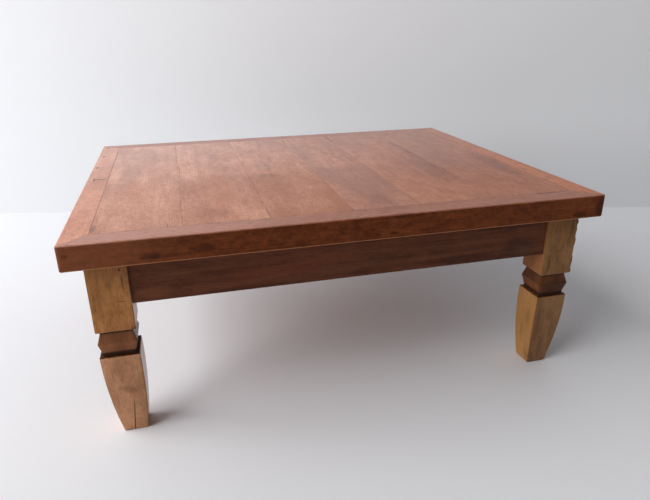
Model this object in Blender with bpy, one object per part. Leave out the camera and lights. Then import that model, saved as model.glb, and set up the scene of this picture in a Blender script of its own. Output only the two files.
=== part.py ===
"""A low coffee table in reclaimed hardwood, in metres, with +Z up and the floor at Z = 0.

A mitred border holds six tongued planks. It rests on four carved square legs and on the aprons that are
tenoned between them. A rail under the planks and a brace in each corner take the screws that hold the top.
"""

import math

import bmesh
import bpy
from mathutils import Vector

# Overall size, and the gap left between faces that touch
TABLE_LENGTH = 1.000
TABLE_DEPTH = 0.800
TABLE_HEIGHT = 0.395
CLEARANCE = 0.0003

# Mitred border of the top, and the splines hidden in its corners
BORDER_WIDTH = 0.045
BORDER_THICKNESS = 0.045
BORDER_CORNER_RADIUS = 0.005
BORDER_ARRIS = 0.0025
SPLINE_WIDTH = 0.024
SPLINE_THICKNESS = 0.005
SPLINE_RISE = 0.011
SPLINE_WALL = 0.0035

# Planks from left to right, ripped in proportion to fill the border, and their tongues
PLANK_WIDTHS = (0.150, 0.151, 0.153, 0.130, 0.157, 0.169)
PLANK_THICKNESS = 0.026
TONGUE_THICKNESS = 0.009
TONGUE_LENGTH = 0.012

# Legs, carved from square stock: post, bead between two necks, and foot down to the floor
TOP_OVERHANG = 0.030
LEG_WIDTH = 0.0685
LEG_ARRIS = 0.002
POST_HEIGHT = 0.131
NECK_HEIGHT = 0.005
NECK_CUT = 0.006
BEAD_UPPER_HEIGHT = 0.018
BEAD_LOWER_HEIGHT = 0.021
BEAD_CUT = 0.0008
BEAD_RIDGE = 0.0015
FOOT_BOTTOM_WIDTH = 0.0435
FOOT_LEAN = 0.007
FOOT_BELLY = 0.0018
FOOT_BELLY_DROP = 0.45
FOOT_STEPS = 10

# Aprons and the tenons that hold them in the posts
APRON_HEIGHT = 0.083
APRON_THICKNESS = 0.024
APRON_SETBACK = 0.004
APRON_ARRIS = 0.002
TENON_THICKNESS = 0.009
TENON_LENGTH = 0.030
TENON_SHOULDER = 0.012
TENON_ARRIS = 0.0005

# Rail under the planks, with a stub tenon at each end
RAIL_WIDTH = 0.032
RAIL_DROP = 0.036
RAIL_ARRIS = 0.002
RAIL_TENON_THICKNESS = 0.012
RAIL_TENON_LENGTH = 0.012
RAIL_TENON_SHOULDER = 0.006

# Diagonal braces behind the legs
BRACE_THICKNESS = 0.024
BRACE_DROP = 0.031
BRACE_GAP = 0.006

# Countersunk wood screws
SCREW_RADIUS = 0.002
SCREW_HEAD_RADIUS = 0.004
SCREW_HEAD_HEIGHT = 0.0025
SCREW_POINT_LENGTH = 0.004
SCREW_TIP_RADIUS = 0.0003
SCREW_SIDES = 12
TOP_SCREW_LENGTH = 0.050
TOP_SCREW_BITE = 0.015
SIDE_SCREW_LENGTH = 0.025
SIDE_SCREW_SINK = 0.001

# How far a cutter runs past the faces it opens, and the facets of a rounded edge
CUT_MARGIN = 0.010
ROUND_STEPS = 2
CORNER_STEPS = 4

# Heights and plan lines that several pieces share
border_underside = TABLE_HEIGHT - BORDER_THICKNESS
base_top = border_underside - CLEARANCE
plank_underside = TABLE_HEIGHT - PLANK_THICKNESS
tongue_middle = TABLE_HEIGHT - PLANK_THICKNESS / 2
post_bottom = base_top - POST_HEIGHT
foot_top = post_bottom - 2 * NECK_HEIGHT - BEAD_UPPER_HEIGHT - BEAD_LOWER_HEIGHT
rail_bottom = base_top - RAIL_DROP
brace_bottom = base_top - BRACE_DROP
field_half_length = TABLE_LENGTH / 2 - BORDER_WIDTH
field_half_depth = TABLE_DEPTH / 2 - BORDER_WIDTH
base_half_length = TABLE_LENGTH / 2 - TOP_OVERHANG
base_half_depth = TABLE_DEPTH / 2 - TOP_OVERHANG
apron_middle = APRON_SETBACK + APRON_THICKNESS / 2
apron_inside = APRON_SETBACK + APRON_THICKNESS

SIDES = {"left": -1, "right": 1, "front": -1, "back": 1}
CORNERS = [(end, side) for end in ("front", "back") for side in ("left", "right")]

for old in list(bpy.data.objects):
    bpy.data.objects.remove(old)

table = bpy.data.objects.new("coffee_table", None)
bpy.context.collection.objects.link(table)


# Finishes

def finish(name, colour, roughness, metallic=0.0):
    """A material of one colour, given as sRGB values from 0 to 255."""
    material = bpy.data.materials.new(name)
    material.use_nodes = True
    shader = material.node_tree.nodes["Principled BSDF"]
    linear = [(value / 255) ** 2.2 for value in colour]
    shader.inputs["Base Color"].default_value = (*linear, 1.0)
    shader.inputs["Roughness"].default_value = roughness
    shader.inputs["Metallic"].default_value = metallic
    return material


plank_wood = finish("plank_wood", (158, 98, 72), 0.40)
border_wood = finish("border_wood", (150, 88, 62), 0.40)
apron_wood = finish("apron_wood", (82, 48, 36), 0.45)
leg_wood = finish("leg_wood", (146, 102, 62), 0.50)
inner_wood = finish("inner_wood", (150, 112, 78), 0.70)
screw_steel = finish("screw_steel", (150, 148, 142), 0.40, 1.0)


# Shapes that the pieces are made from

def along_x(point, station):
    return Vector((station, point[0], point[1]))


def along_y(point, station):
    return Vector((point[0], station, point[1]))


def along_z(point, station):
    return Vector((point[0], point[1], station))


def add_loft(bm, loops):
    """Adds a closed body through loops of equally many points, capped at both ends."""
    rings = [[bm.verts.new(point) for point in loop] for loop in loops]
    for lower, upper in zip(rings, rings[1:]):
        for here in range(len(lower)):
            there = (here + 1) % len(lower)
            bm.faces.new((lower[here], lower[there], upper[there], upper[here]))
    bm.faces.new(rings[0])
    bm.faces.new(rings[-1])
    bmesh.ops.recalc_face_normals(bm, faces=bm.faces)


def add_prism(bm, outline, place, start, end):
    """Adds an outline extruded between two stations along the axis that place runs on."""
    add_loft(bm, [[place(point, station) for point in outline] for station in (start, end)])


def rectangle(low, high):
    return [(low[0], low[1]), (high[0], low[1]), (high[0], high[1]), (low[0], high[1])]


def rounded_rectangle(centre, half_width, half_height, radius):
    """Outline of a rectangle whose corners are arcs."""
    points = []
    for turn, (right, up) in enumerate(((1, 1), (-1, 1), (-1, -1), (1, -1))):
        for step in range(ROUND_STEPS + 1):
            angle = math.pi / 2 * (turn + step / ROUND_STEPS)
            across = right * (half_width - radius) + radius * math.cos(angle)
            rise = up * (half_height - radius) + radius * math.sin(angle)
            points.append((centre[0] + across, centre[1] + rise))
    return points


def add_tenoned_bar(bm, place, half_length, body, tenon, tenon_length):
    """Adds a bar of one section, stepped down to a tenon at each end."""
    tip = half_length + tenon_length
    stations = (
        (-tip, tenon),
        (-half_length, tenon),
        (-half_length, body),
        (half_length, body),
        (half_length, tenon),
        (tip, tenon),
    )
    add_loft(bm, [[place(point, station) for point in outline] for station, outline in stations])


def add_turning(bm, tip, direction, profile):
    """Adds a round body from its profile: pairs of the distance behind the tip and the radius there."""
    across = direction.orthogonal().normalized()
    beside = direction.cross(across)
    loops = []
    for distance, radius in profile:
        loop = []
        for side in range(SCREW_SIDES):
            angle = 2 * math.pi * side / SCREW_SIDES
            loop.append(tip - distance * direction + radius * (math.cos(angle) * across + math.sin(angle) * beside))
        loops.append(loop)
    add_loft(bm, loops)


# Objects: pieces of the table and the hidden cutters that shape them

def add_object(name, bm, origin):
    """Makes an object of a mesh that is drawn in the table's own frame, with its origin at the given point."""
    bmesh.ops.translate(bm, verts=bm.verts, vec=-Vector(origin))
    mesh = bpy.data.meshes.new(name)
    bm.to_mesh(mesh)
    bm.free()
    made = bpy.data.objects.new(name, mesh)
    bpy.context.collection.objects.link(made)
    return made


def add_piece(name, bm, origin, material):
    piece = add_object(name, bm, origin)
    piece.location = origin
    piece.parent = table
    piece.data.materials.append(material)
    return piece


def cut(piece, bm, operation="DIFFERENCE"):
    """Takes a shape out of a piece, or with INTERSECT keeps only what lies inside it."""
    cutter = add_object(f"{piece.name}_{operation.lower()}", bm, piece.location)
    cutter.parent = piece
    cutter.hide_render = True
    cutter.display_type = "WIRE"
    boolean = piece.modifiers.new(operation.lower(), "BOOLEAN")
    boolean.operation = operation
    boolean.object = cutter


def shade_round(piece):
    piece.data.shade_smooth()
    piece.data.set_sharp_from_angle(angle=math.radians(35))


# Screws, and the holes that take them

def screw_profile(length, grow):
    return [
        (-grow, SCREW_TIP_RADIUS + grow),
        (SCREW_POINT_LENGTH, SCREW_RADIUS + grow),
        (length - SCREW_HEAD_HEIGHT, SCREW_RADIUS + grow),
        (length, SCREW_HEAD_RADIUS + grow),
    ]


def add_screw(screw):
    bm = bmesh.new()
    add_turning(bm, screw["tip"], screw["direction"], screw_profile(screw["length"], 0.0))
    piece = add_piece(screw["name"], bm, screw["tip"], screw_steel)
    shade_round(piece)


def add_screw_hole(bm, screw):
    """Adds the screw's own shape, eased all round, with a counterbore behind its head."""
    profile = screw_profile(screw["length"], CLEARANCE)
    mouth = (screw["length"] + screw["counterbore"], SCREW_HEAD_RADIUS + CLEARANCE)
    add_turning(bm, screw["tip"], screw["direction"], [*profile, mouth])


def top_screw(name, x, y, member_bottom):
    """A screw that runs up through a member of the base into the plank above."""
    tip = Vector((x, y, plank_underside + TOP_SCREW_BITE))
    head = tip.z - TOP_SCREW_LENGTH
    return {
        "name": name,
        "tip": tip,
        "direction": Vector((0, 0, 1)),
        "length": TOP_SCREW_LENGTH,
        "counterbore": head - member_bottom + CUT_MARGIN,
    }


# Where the seams between planks fall

share = 2 * field_half_length / sum(PLANK_WIDTHS)
seams = [-field_half_length]
for width in PLANK_WIDTHS:
    seams.append(seams[-1] + width * share)

rail_screws = []
for number, (left, right) in enumerate(zip(seams, seams[1:]), start=1):
    rail_screws.append(top_screw(f"rail_screw_{number}", (left + right) / 2, 0.0, rail_bottom))


# Corner braces, drawn from each post's outer corner: inwards along the length, then along the depth

brace_start = 2 * LEG_WIDTH + BRACE_GAP * math.sqrt(2)
brace_end = brace_start + BRACE_THICKNESS * math.sqrt(2)
brace_seat = apron_inside + CLEARANCE


def corner_point(corner, along, across, height):
    end, side = corner
    x = SIDES[side] * (base_half_length - along)
    y = SIDES[end] * (base_half_depth - across)
    return Vector((x, y, height))


def brace_screws(corner):
    """One screw up into the plank, and one square into each of the two aprons."""
    end, side = corner
    name = f"brace_screw_{end}_{side}"
    centre = (brace_start + brace_end) / 4
    middle = corner_point(corner, centre, centre, brace_bottom)
    screws = {"top": top_screw(f"{name}_top", middle.x, middle.y, brace_bottom)}
    height = (brace_bottom + base_top) / 2
    seat = (brace_start + brace_end) / 2 - brace_seat
    head = brace_end - seat - SCREW_HEAD_RADIUS - SIDE_SCREW_SINK
    tip = head - SIDE_SCREW_LENGTH
    ways = {
        end: (corner_point(corner, seat, tip, height), Vector((0, SIDES[end], 0))),
        side: (corner_point(corner, tip, seat, height), Vector((SIDES[side], 0, 0))),
    }
    for apron, (point, direction) in ways.items():
        screws[apron] = {
            "name": f"{name}_{apron}",
            "tip": point,
            "direction": direction,
            "length": SIDE_SCREW_LENGTH,
            "counterbore": 2 * SCREW_HEAD_RADIUS + SIDE_SCREW_SINK + CUT_MARGIN,
        }
    return screws


screws_of_brace = {corner: brace_screws(corner) for corner in CORNERS}

for corner in CORNERS:
    outline = [
        (brace_start - brace_seat, brace_seat),
        (brace_end - brace_seat, brace_seat),
        (brace_seat, brace_end - brace_seat),
        (brace_seat, brace_start - brace_seat),
    ]
    levels = (brace_bottom, plank_underside - CLEARANCE)
    bm = bmesh.new()
    add_loft(bm, [[corner_point(corner, *point, level) for point in outline] for level in levels])
    centre = (brace_start + brace_end) / 4
    origin = corner_point(corner, centre, centre, brace_bottom)
    brace = add_piece(f"corner_brace_{corner[0]}_{corner[1]}", bm, origin, inner_wood)
    holes = bmesh.new()
    for screw in screws_of_brace[corner].values():
        add_screw_hole(holes, screw)
        add_screw(screw)
    cut(brace, holes)


# Border: one moulded ring with a groove inside, of which each board keeps the part between its mitres

def add_border_ring(bm):
    half = (TABLE_LENGTH / 2, TABLE_DEPTH / 2)
    outline = rectangle((-half[0], -half[1]), half)
    add_prism(bm, outline, along_z, border_underside, TABLE_HEIGHT)
    uprights = [edge for edge in bm.edges if abs(edge.verts[0].co.z - edge.verts[1].co.z) > CLEARANCE]
    bmesh.ops.bevel(
        bm, geom=uprights, offset=BORDER_CORNER_RADIUS, segments=CORNER_STEPS, profile=0.5, affect="EDGES"
    )
    rims = [edge for edge in bm.edges if abs(edge.verts[0].co.z - edge.verts[1].co.z) < CLEARANCE]
    bmesh.ops.bevel(bm, geom=rims, offset=BORDER_ARRIS, segments=ROUND_STEPS, profile=0.5, affect="EDGES")


def add_field_opening(bm):
    """The space inside the border, widened by the groove that the planks' tongues run in."""
    groove_half = TONGUE_THICKNESS / 2 + CLEARANCE
    levels = (
        (border_underside - CUT_MARGIN, 0.0),
        (tongue_middle - groove_half, 0.0),
        (tongue_middle - groove_half, TONGUE_LENGTH),
        (tongue_middle + groove_half, TONGUE_LENGTH),
        (tongue_middle + groove_half, 0.0),
        (TABLE_HEIGHT + CUT_MARGIN, 0.0),
    )
    loops = []
    for height, groove in levels:
        half = (field_half_length + groove, field_half_depth + groove)
        outline = rectangle((-half[0], -half[1]), half)
        loops.append([along_z(point, height) for point in outline])
    add_loft(bm, loops)


def mitre_wedge(side):
    """Plan of the ground that one border board covers, out past its edge and in past its width."""
    ease = CLEARANCE / math.sqrt(2)
    across_ends = side in ("left", "right")
    half_run = TABLE_DEPTH / 2 if across_ends else TABLE_LENGTH / 2
    half_reach = TABLE_LENGTH / 2 if across_ends else TABLE_DEPTH / 2
    outline = []
    for inset, turn in ((-CUT_MARGIN, -1), (-CUT_MARGIN, 1), (BORDER_WIDTH + CUT_MARGIN, 1),
                        (BORDER_WIDTH + CUT_MARGIN, -1)):
        run = turn * (half_run - inset - ease)
        reach = SIDES[side] * (half_reach - inset)
        outline.append((reach, run) if across_ends else (run, reach))
    return outline


def spline_outline(corner, grow):
    """A rectangle laid across the mitre, clear of the border's outer and inner edges."""
    end, side = corner
    half_across = SPLINE_WIDTH / 2
    half_along = BORDER_WIDTH / math.sqrt(2) - SPLINE_WALL * math.sqrt(2) - half_across
    points = []
    for along, across in ((-1, -1), (1, -1), (1, 1), (-1, 1)):
        down = along * (half_along + grow)
        over = across * (half_across + grow)
        inset_x = BORDER_WIDTH / 2 + (down + over) / math.sqrt(2)
        inset_y = BORDER_WIDTH / 2 + (down - over) / math.sqrt(2)
        points.append((SIDES[side] * (TABLE_LENGTH / 2 - inset_x), SIDES[end] * (TABLE_DEPTH / 2 - inset_y)))
    return points


def add_spline(bm, corner, grow):
    middle = border_underside + SPLINE_RISE
    half = SPLINE_THICKNESS / 2 + grow
    add_prism(bm, spline_outline(corner, grow), along_z, middle - half, middle + half)


ring = bmesh.new()
add_border_ring(ring)
border_ring = add_object("border_ring", ring, (0, 0, 0))
border_ring.hide_render = True
border_ring.display_type = "WIRE"
border_ring.parent = table
opening = bmesh.new()
add_field_opening(opening)
cut(border_ring, opening)

border_places = {
    "front": (0, -TABLE_DEPTH / 2, border_underside),
    "back": (0, TABLE_DEPTH / 2, border_underside),
    "left": (-TABLE_LENGTH / 2, 0, border_underside),
    "right": (TABLE_LENGTH / 2, 0, border_underside),
}
for side, origin in border_places.items():
    bm = bmesh.new()
    add_prism(bm, mitre_wedge(side), along_z, border_underside - CUT_MARGIN, TABLE_HEIGHT + CUT_MARGIN)
    board = add_piece(f"border_{side}", bm, origin, border_wood)
    keep = board.modifiers.new("moulded_ring", "BOOLEAN")
    keep.operation = "INTERSECT"
    keep.object = border_ring
    slots = bmesh.new()
    for corner in CORNERS:
        if side in corner:
            add_spline(slots, corner, CLEARANCE)
    cut(board, slots)

for corner in CORNERS:
    bm = bmesh.new()
    add_spline(bm, corner, 0.0)
    end, side = corner
    x = SIDES[side] * (TABLE_LENGTH - BORDER_WIDTH) / 2
    y = SIDES[end] * (TABLE_DEPTH - BORDER_WIDTH) / 2
    origin = (x, y, border_underside + SPLINE_RISE)
    add_piece(f"mitre_spline_{end}_{side}", bm, origin, inner_wood)


# Planks: a tongue runs round the outside of the field, and each plank's right tongue enters the next one

def plank_outline(left, right, first):
    """Section across a plank, with a groove in its left edge, or a tongue there on the first plank."""
    low = plank_underside
    tongue = TONGUE_THICKNESS / 2
    reach = TONGUE_LENGTH - CLEARANCE
    if first:
        left_edge = [
            (left, tongue_middle + tongue),
            (left - reach, tongue_middle + tongue),
            (left - reach, tongue_middle - tongue),
            (left, tongue_middle - tongue),
        ]
    else:
        slot = tongue + CLEARANCE
        left_edge = [
            (left, tongue_middle + slot),
            (left + TONGUE_LENGTH, tongue_middle + slot),
            (left + TONGUE_LENGTH, tongue_middle - slot),
            (left, tongue_middle - slot),
        ]
    right_edge = [
        (right, tongue_middle - tongue),
        (right + reach, tongue_middle - tongue),
        (right + reach, tongue_middle + tongue),
        (right, tongue_middle + tongue),
    ]
    return [(left, TABLE_HEIGHT), *left_edge, (left, low), (right, low), *right_edge, (right, TABLE_HEIGHT)]


def add_end_rebates(bm, left, right):
    """The wood taken off above and below the tongue at both ends of a plank."""
    outer = (left - TONGUE_LENGTH - CUT_MARGIN, right + TONGUE_LENGTH + CUT_MARGIN)
    shoulder = field_half_depth - CLEARANCE
    end = field_half_depth + TONGUE_LENGTH + CUT_MARGIN
    tongue = TONGUE_THICKNESS / 2
    bands = (
        (plank_underside - CUT_MARGIN, tongue_middle - tongue),
        (tongue_middle + tongue, TABLE_HEIGHT + CUT_MARGIN),
    )
    for low, high in bands:
        for way in (-1, 1):
            add_prism(bm, rectangle((outer[0], low), (outer[1], high)), along_y, way * shoulder, way * end)


top_screws = rail_screws + [screws_of_brace[corner]["top"] for corner in CORNERS]
for number, (left_seam, right_seam) in enumerate(zip(seams, seams[1:]), start=1):
    first = number == 1
    left = left_seam + CLEARANCE / (1 if first else 2)
    right = right_seam - CLEARANCE / (1 if number == len(PLANK_WIDTHS) else 2)
    tip = field_half_depth + TONGUE_LENGTH - CLEARANCE
    bm = bmesh.new()
    add_prism(bm, plank_outline(left, right, first), along_y, -tip, tip)
    plank = add_piece(f"top_plank_{number}", bm, ((left + right) / 2, 0, plank_underside), plank_wood)
    waste = bmesh.new()
    add_end_rebates(waste, left, right)
    reach = SCREW_HEAD_RADIUS + CLEARANCE
    for screw in top_screws:
        if left - reach < screw["tip"].x < right + TONGUE_LENGTH + reach:
            add_screw_hole(waste, screw)
    cut(plank, waste)


# Legs, lofted through square sections from the floor up

def foot_sections():
    """Sections of the foot: its sides follow one curve that bellies out and then tapers to the floor."""
    top_half = LEG_WIDTH / 2
    belly_half = top_half + FOOT_BELLY
    floor_half = FOOT_BOTTOM_WIDTH / 2
    sections = []
    for step in range(FOOT_STEPS + 1):
        t = 1 - step / FOOT_STEPS
        drop = 2 * t * (1 - t) * FOOT_BELLY_DROP + t * t
        half = (1 - t) ** 2 * top_half + 2 * t * (1 - t) * belly_half + t * t * floor_half
        sections.append((foot_top * (1 - drop), half, FOOT_LEAN * drop))
    lowest = sections[0]
    sections[0] = (LEG_ARRIS, lowest[1], lowest[2])
    highest = sections[-1]
    sections[-1] = (foot_top - LEG_ARRIS / 2, highest[1], 0.0)
    return [(0.0, lowest[1] - LEG_ARRIS, lowest[2]), *sections, (foot_top, top_half - LEG_ARRIS / 2, 0.0)]


def leg_sections():
    """Height, half width and inward lean of each square section of a leg."""
    post_half = LEG_WIDTH / 2
    neck_half = post_half - NECK_CUT
    bead_half = post_half - BEAD_CUT
    bead_low = foot_top + NECK_HEIGHT
    bead_ridge = bead_low + BEAD_LOWER_HEIGHT
    bead_high = bead_ridge + BEAD_UPPER_HEIGHT
    ridge_half = bead_half - BEAD_RIDGE * NECK_CUT / BEAD_UPPER_HEIGHT
    carving = [
        (foot_top, neck_half, 0.0),
        (bead_low, neck_half, 0.0),
        (bead_ridge - BEAD_RIDGE, ridge_half, 0.0),
        (bead_ridge, bead_half, 0.0),
        (bead_ridge + BEAD_RIDGE, ridge_half, 0.0),
        (bead_high, neck_half, 0.0),
        (post_bottom, neck_half, 0.0),
        (post_bottom, post_half - LEG_ARRIS / 2, 0.0),
        (post_bottom + LEG_ARRIS / 2, post_half, 0.0),
        (base_top, post_half, 0.0),
    ]
    return foot_sections() + carving


tenon_low = base_top - APRON_HEIGHT + TENON_SHOULDER
tenon_high = base_top - TENON_SHOULDER


def add_mortises(bm, corner):
    """The two sockets in a post, one for each apron that meets it."""
    near = apron_middle - TENON_THICKNESS / 2 - CLEARANCE
    far = apron_middle + TENON_THICKNESS / 2 + CLEARANCE
    blind = LEG_WIDTH - TENON_LENGTH
    mouth = LEG_WIDTH + CUT_MARGIN
    low = tenon_low - CLEARANCE
    high = tenon_high + CLEARANCE
    plan_to_long_apron = rectangle((blind, near), (mouth, far))
    plan_to_side_apron = rectangle((near, blind), (far, mouth))
    for plan in (plan_to_long_apron, plan_to_side_apron):
        add_loft(bm, [[corner_point(corner, *point, level) for point in plan] for level in (low, high)])


for corner in CORNERS:
    end, side = corner
    axis = corner_point(corner, LEG_WIDTH / 2, LEG_WIDTH / 2, 0.0)
    bm = bmesh.new()
    loops = []
    for height, half, lean in leg_sections():
        centre = (axis.x - SIDES[side] * lean, axis.y)
        loops.append([along_z(point, height) for point in rounded_rectangle(centre, half, half, LEG_ARRIS)])
    add_loft(bm, loops)
    leg = add_piece(f"leg_{end}_{side}", bm, axis, leg_wood)
    sockets = bmesh.new()
    add_mortises(sockets, corner)
    cut(leg, sockets)


# Aprons, with the rail's mortises in the two side ones and the brace screws' holes in all four

rail_tenon_low = rail_bottom + RAIL_TENON_SHOULDER
rail_tenon_high = base_top - RAIL_TENON_SHOULDER
rail_half_length = base_half_length - apron_inside - CLEARANCE


def apron_outlines(centre):
    """Sections of an apron and of its tenons, about a line in plan."""
    middle = (centre, base_top - APRON_HEIGHT / 2)
    body = rounded_rectangle(middle, APRON_THICKNESS / 2, APRON_HEIGHT / 2, APRON_ARRIS)
    tenon_half_height = (tenon_high - tenon_low) / 2
    tenon = rounded_rectangle(middle, TENON_THICKNESS / 2, tenon_half_height, TENON_ARRIS)
    return body, tenon


apron_runs = {
    "front": (along_x, base_half_length, base_half_depth),
    "back": (along_x, base_half_length, base_half_depth),
    "left": (along_y, base_half_depth, base_half_length),
    "right": (along_y, base_half_depth, base_half_length),
}
for side, (place, half_run, half_reach) in apron_runs.items():
    line = SIDES[side] * (half_reach - apron_middle)
    body, tenon = apron_outlines(line)
    half_length = half_run - LEG_WIDTH - CLEARANCE
    bm = bmesh.new()
    add_tenoned_bar(bm, place, half_length, body, tenon, TENON_LENGTH)
    origin = place((line, base_top - APRON_HEIGHT), 0.0)
    apron = add_piece(f"apron_{side}", bm, origin, apron_wood)
    waste = bmesh.new()
    for corner in CORNERS:
        if side in corner:
            add_screw_hole(waste, screws_of_brace[corner][side])
    if side in ("left", "right"):
        inner = rail_half_length
        socket = rectangle(
            (-RAIL_TENON_THICKNESS / 2 - CLEARANCE, rail_tenon_low - CLEARANCE),
            (RAIL_TENON_THICKNESS / 2 + CLEARANCE, rail_tenon_high + CLEARANCE),
        )
        mouth = SIDES[side] * (inner - CUT_MARGIN)
        blind = SIDES[side] * (inner + RAIL_TENON_LENGTH + CLEARANCE)
        add_prism(waste, socket, along_x, mouth, blind)
    cut(apron, waste)


# Rail across the middle, screwed up into every plank

rail_top = plank_underside - CLEARANCE
rail_body = rounded_rectangle(
    (0.0, (rail_bottom + rail_top) / 2), RAIL_WIDTH / 2, (rail_top - rail_bottom) / 2, RAIL_ARRIS
)
rail_tenon = rounded_rectangle(
    (0.0, (rail_tenon_low + rail_tenon_high) / 2),
    RAIL_TENON_THICKNESS / 2,
    (rail_tenon_high - rail_tenon_low) / 2,
    TENON_ARRIS,
)
bm = bmesh.new()
add_tenoned_bar(bm, along_x, rail_half_length, rail_body, rail_tenon, RAIL_TENON_LENGTH)
rail = add_piece("centre_rail", bm, (0, 0, rail_bottom), inner_wood)
holes = bmesh.new()
for screw in rail_screws:
    add_screw_hole(holes, screw)
    add_screw(screw)
cut(rail, holes)
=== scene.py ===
"""Looks of a low coffee table in reclaimed hardwood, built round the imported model, in metres with +Z up.

The sections follow the table as it is put together: legs, aprons, rail and braces, planks, border, and
last the studio that it stands in.
"""

import math

import bmesh
import bpy
from mathutils import Matrix, Vector


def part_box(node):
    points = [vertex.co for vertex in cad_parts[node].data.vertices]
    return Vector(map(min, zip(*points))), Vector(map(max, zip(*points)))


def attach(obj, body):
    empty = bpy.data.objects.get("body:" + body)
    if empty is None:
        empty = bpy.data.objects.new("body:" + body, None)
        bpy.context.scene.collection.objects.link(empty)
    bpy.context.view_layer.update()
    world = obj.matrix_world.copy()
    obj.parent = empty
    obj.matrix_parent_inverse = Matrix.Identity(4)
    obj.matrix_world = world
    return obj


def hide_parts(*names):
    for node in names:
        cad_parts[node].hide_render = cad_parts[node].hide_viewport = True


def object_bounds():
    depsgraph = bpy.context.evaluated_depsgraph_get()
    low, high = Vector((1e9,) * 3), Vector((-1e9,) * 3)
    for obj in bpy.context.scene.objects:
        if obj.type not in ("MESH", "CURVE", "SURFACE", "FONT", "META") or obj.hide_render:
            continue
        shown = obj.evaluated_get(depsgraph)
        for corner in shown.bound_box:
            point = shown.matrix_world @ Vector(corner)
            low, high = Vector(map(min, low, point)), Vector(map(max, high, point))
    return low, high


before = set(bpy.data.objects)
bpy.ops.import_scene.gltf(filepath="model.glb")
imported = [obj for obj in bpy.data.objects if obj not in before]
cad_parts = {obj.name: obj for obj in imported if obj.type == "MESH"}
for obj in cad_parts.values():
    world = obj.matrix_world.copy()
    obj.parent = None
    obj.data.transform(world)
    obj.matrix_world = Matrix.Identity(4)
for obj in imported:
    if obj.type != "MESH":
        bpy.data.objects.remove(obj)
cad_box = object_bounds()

table_low, table_high = cad_box


# Legs: four posts of old yellow-brown hardwood, each carved from one squared length.
# Under the aprons a diamond-shaped bead stands between two cut-in necks, above a foot that bellies a
# little, tapers and leans inwards; blind sockets near the top take the aprons' tenons.

top_overhang = 0.030
leg_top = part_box("leg_front_left")[1].z
leg_half_width = 0.03425
leg_arris = 0.0018
post_height = 0.131
post_steps = 10
neck_height = 0.005
neck_half_width = 0.02825
bead_half_width = 0.03345
bead_upper_height = 0.018
bead_lower_height = 0.021
foot_bottom_half_width = 0.02175
foot_belly = 0.0018
foot_belly_drop = 0.45
foot_lean = 0.007
foot_steps = 10
tenon_length = 0.030
tenon_thickness = 0.009
tenon_shoulder = 0.012
fit_ease = 0.0003
leg_face_wear = 0.0005
leg_corner_wear = 0.0008
leg_grain_depth = 0.0002
leg_gloss = 0.18
joint_margin = 0.001
hole_sides = 10
sharp_angle = math.radians(40)
square_on = 0.9
tiny = 1e-5
hollow_size = 0.045
hollow_contrast = 1.0
chip_size = 0.011
chip_contrast = 2.2
corner_start = 0.3
corner_full = 0.7
corner_meeting = 0.5
wax_roughness = 0.25

post_bottom = leg_top - post_height
bead_top = post_bottom - neck_height
bead_ridge = bead_top - bead_upper_height
bead_bottom = bead_ridge - bead_lower_height
foot_top = bead_bottom - neck_height
leg_inset = top_overhang + leg_half_width
corners = [(end, side) for end in ("front", "back") for side in ("left", "right")]
ways = {"left": -1, "right": 1, "front": -1, "back": 1}
runs = {"front": 0, "back": 0, "left": 1, "right": 1}


def add_block(name, low, high):
    """A squared block that fills the box between two corners, with its place in its mesh."""
    low = Vector(low)
    high = Vector(high)
    bpy.ops.object.select_all(action="DESELECT")
    bpy.ops.mesh.primitive_cube_add(size=1, location=(low + high) / 2, scale=high - low)
    block = bpy.context.object
    block.name = name
    block.data.name = name
    bpy.ops.object.transform_apply(location=True, rotation=True, scale=True)
    return block


def pick_faces(piece, test):
    """In edit mode, selects the faces whose middle and normal pass a test."""
    bpy.ops.mesh.select_mode(type="FACE")
    bpy.ops.mesh.select_all(action="DESELECT")
    mesh = bmesh.from_edit_mesh(piece.data)
    for face in mesh.faces:
        face.select_set(test(face.calc_center_median(), face.normal))
    bmesh.update_edit_mesh(piece.data)


def pick_edges(piece, test):
    """In edit mode, selects the edges that pass a test."""
    bpy.ops.mesh.select_mode(type="EDGE")
    bpy.ops.mesh.select_all(action="DESELECT")
    mesh = bmesh.from_edit_mesh(piece.data)
    for edge in mesh.edges:
        edge.select_set(test(edge))
    bmesh.update_edit_mesh(piece.data)


def climb(edge):
    """How far an edge rises from one end to the other."""
    return abs(edge.verts[0].co.z - edge.verts[1].co.z)


def is_arris(edge):
    """True on an outer corner sharp enough to have been eased."""
    return edge.is_convex and edge.calc_face_angle(0.0) > sharp_angle


def apply_modifier(piece, modifier):
    """Makes what a modifier does to a piece part of its mesh."""
    bpy.ops.object.select_all(action="DESELECT")
    piece.select_set(True)
    bpy.context.view_layer.objects.active = piece
    bpy.ops.object.modifier_apply(modifier=modifier.name)


def shape_with(piece, tool, operation="DIFFERENCE"):
    """Cuts a piece with a block, or keeps what lies inside the block, and throws the block away."""
    boolean = piece.modifiers.new("cut", "BOOLEAN")
    boolean.operation = operation
    boolean.solver = "MANIFOLD"
    boolean.object = tool
    apply_modifier(piece, boolean)
    bpy.data.objects.remove(tool)


def bore(piece, place, turn, radius, depth):
    """A round hole centred on a face, such as an old nail leaves."""
    bpy.ops.object.select_all(action="DESELECT")
    bpy.ops.mesh.primitive_cylinder_add(
        vertices=hole_sides, radius=radius, depth=2 * depth, location=place, rotation=turn
    )
    drill = bpy.context.object
    bpy.ops.object.transform_apply(location=True, rotation=True, scale=True)
    shape_with(piece, drill)


def split_faces(piece, levels):
    """Divides each face evenly, so that wear can shape it."""
    grid = piece.modifiers.new("grid", "SUBSURF")
    grid.subdivision_type = "SIMPLE"
    grid.levels = levels
    grid.render_levels = levels
    apply_modifier(piece, grid)


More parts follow.
